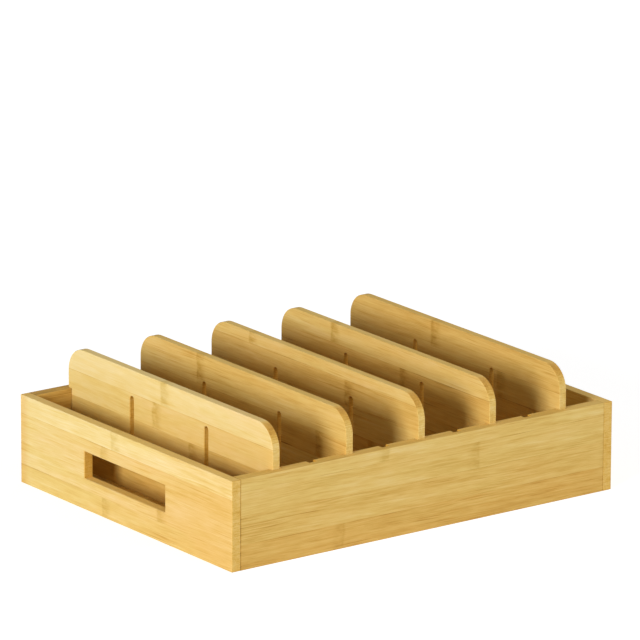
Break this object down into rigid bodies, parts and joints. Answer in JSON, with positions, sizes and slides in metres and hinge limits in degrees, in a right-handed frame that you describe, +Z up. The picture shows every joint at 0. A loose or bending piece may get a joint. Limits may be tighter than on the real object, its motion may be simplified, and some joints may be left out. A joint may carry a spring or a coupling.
{
  "type": "lid organizer",
  "caption": "Low open tray of laminated bamboo with a handle hole in each end and upright round-cornered dividers standing in slotted sides, for keeping container lids on edge.",
  "frame": {"origin": "on the table under the middle of the tray", "axes": "+X along the tray towards its right end, +Y from its front to its back, +Z up"},
  "size_m": [0.36, 0.28, 0.105],
  "materials": {
    "bamboo_end_panel": "clear satin lacquer on laminated bamboo",
    "bamboo_side_panel": "clear satin lacquer on laminated bamboo",
    "bamboo_floor": "clear satin lacquer on laminated bamboo",
    "bamboo_divider": "clear satin lacquer on laminated bamboo",
    "dowel_wood": "bare hardwood"
  },
  "bodies": {
    "root": {"end_panel_left": "bamboo_end_panel", "end_panel_right": "bamboo_end_panel", "side_panel_front": "bamboo_side_panel", "side_panel_back": "bamboo_side_panel", "floor_panel": "bamboo_floor", "divider_1": "bamboo_divider", "divider_2": "bamboo_divider", "divider_3": "bamboo_divider", "divider_4": "bamboo_divider", "divider_5": "bamboo_divider", "dowel_front_left_low": "dowel_wood", "dowel_front_left_high": "dowel_wood", "dowel_front_right_low": "dowel_wood", "dowel_front_right_high": "dowel_wood", "dowel_back_left_low": "dowel_wood", "dowel_back_left_high": "dowel_wood", "dowel_back_right_low": "dowel_wood", "dowel_back_right_high": "dowel_wood"}
  },
  "joints": []
}
